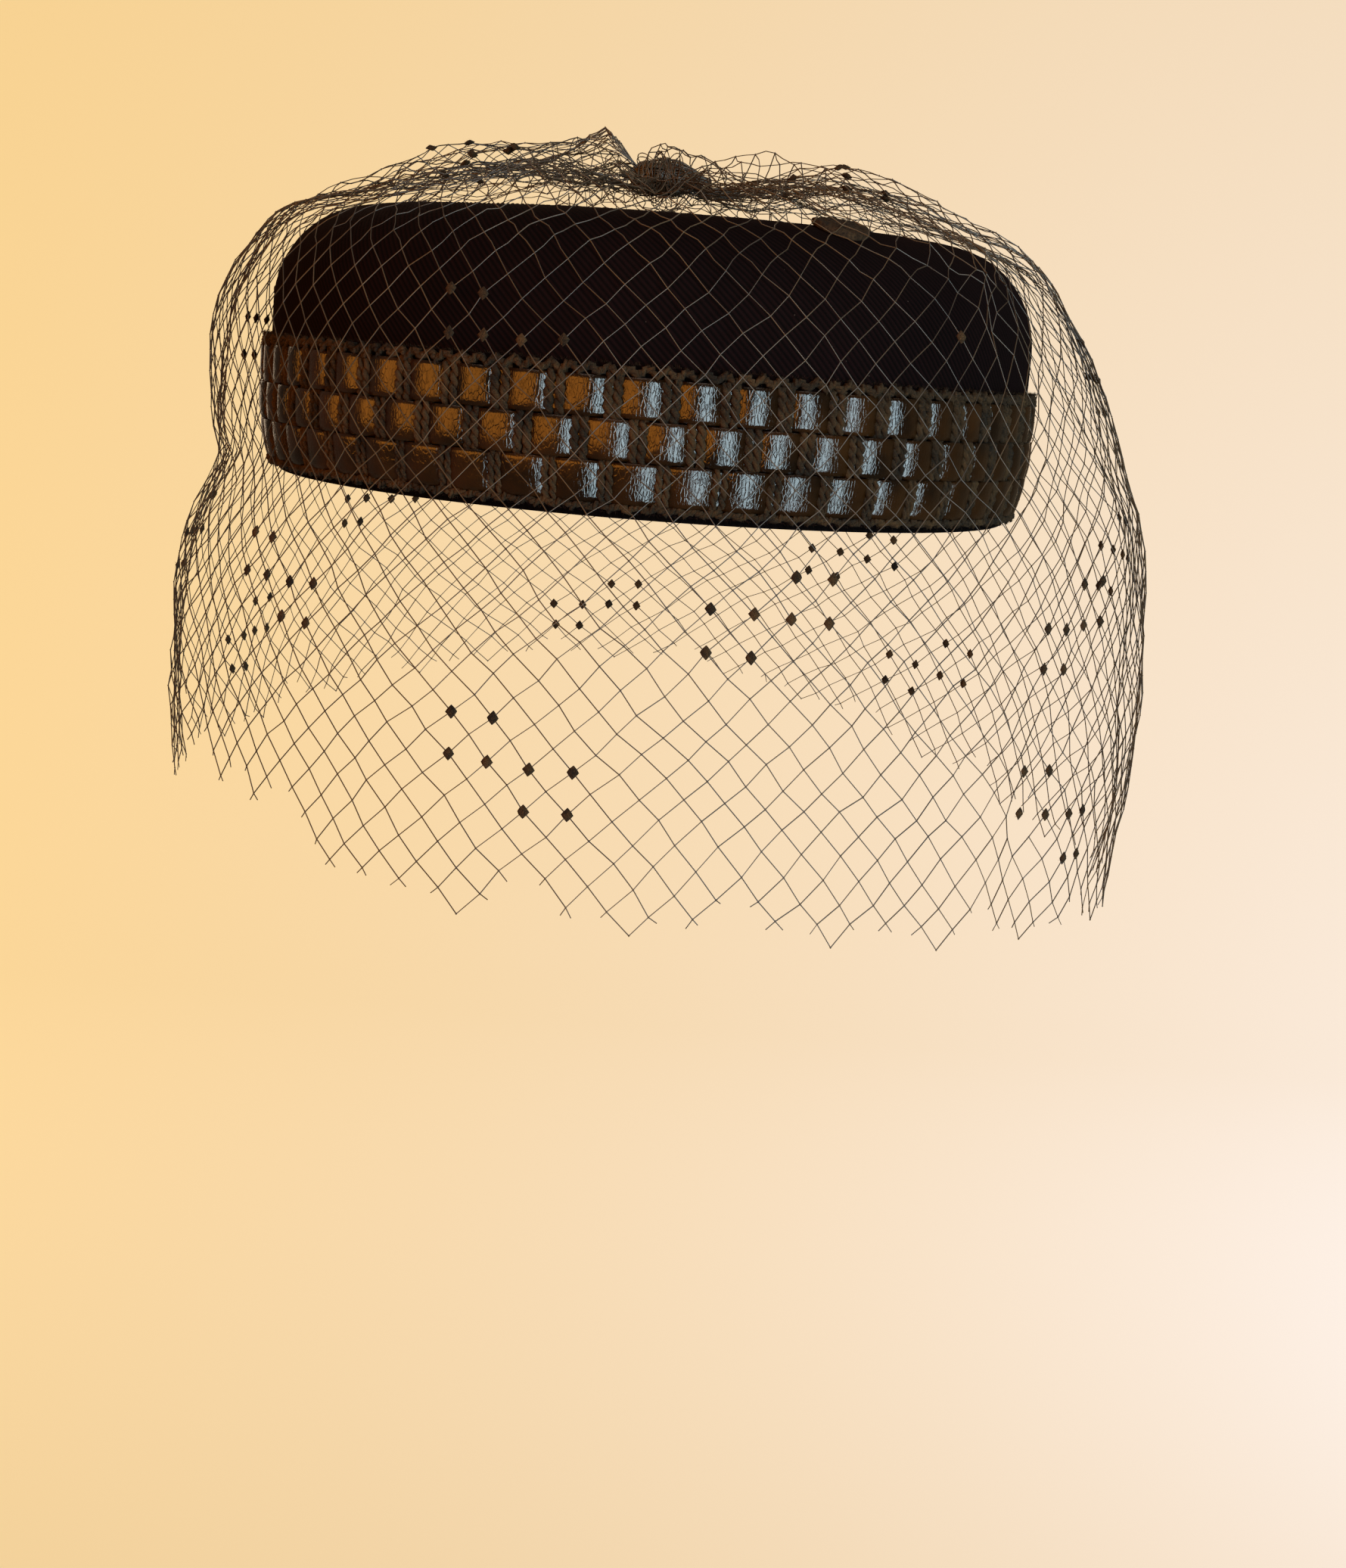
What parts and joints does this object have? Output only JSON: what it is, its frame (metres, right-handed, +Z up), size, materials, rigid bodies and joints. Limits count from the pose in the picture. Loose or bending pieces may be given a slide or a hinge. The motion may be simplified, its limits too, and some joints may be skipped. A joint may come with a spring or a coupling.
{
  "type": "pillbox hat",
  "caption": "Open-topped velvet pillbox hat with woven leather braid round its lower half and a gathered net veil that hangs below the rim.",
  "frame": {"origin": "centre of the head opening, in the plane of the rim", "axes": "+Z up out of the crown; the front of the hat faces -Y"},
  "size_m": [0.2247, 0.235, 0.1624],
  "materials": {
    "velvet": "black bias-cut velvet with a ribbed pile",
    "patent_leather": "glossy crinkled patent leather, near black",
    "yarn": "dark olive brown plied yarn",
    "net": "dark brown diamond netting with chenille dots"
  },
  "bodies": {
    "root": {"crown": "velvet", "ribbon_bottom": "patent_leather", "ribbon_middle": "patent_leather", "ribbon_top": "patent_leather", "edge_cord_bottom": "yarn", "edge_cord_top": "yarn", "veil": "net", "veil_knot": "net", "tack_patch": "velvet"}
  },
  "joints": []
}
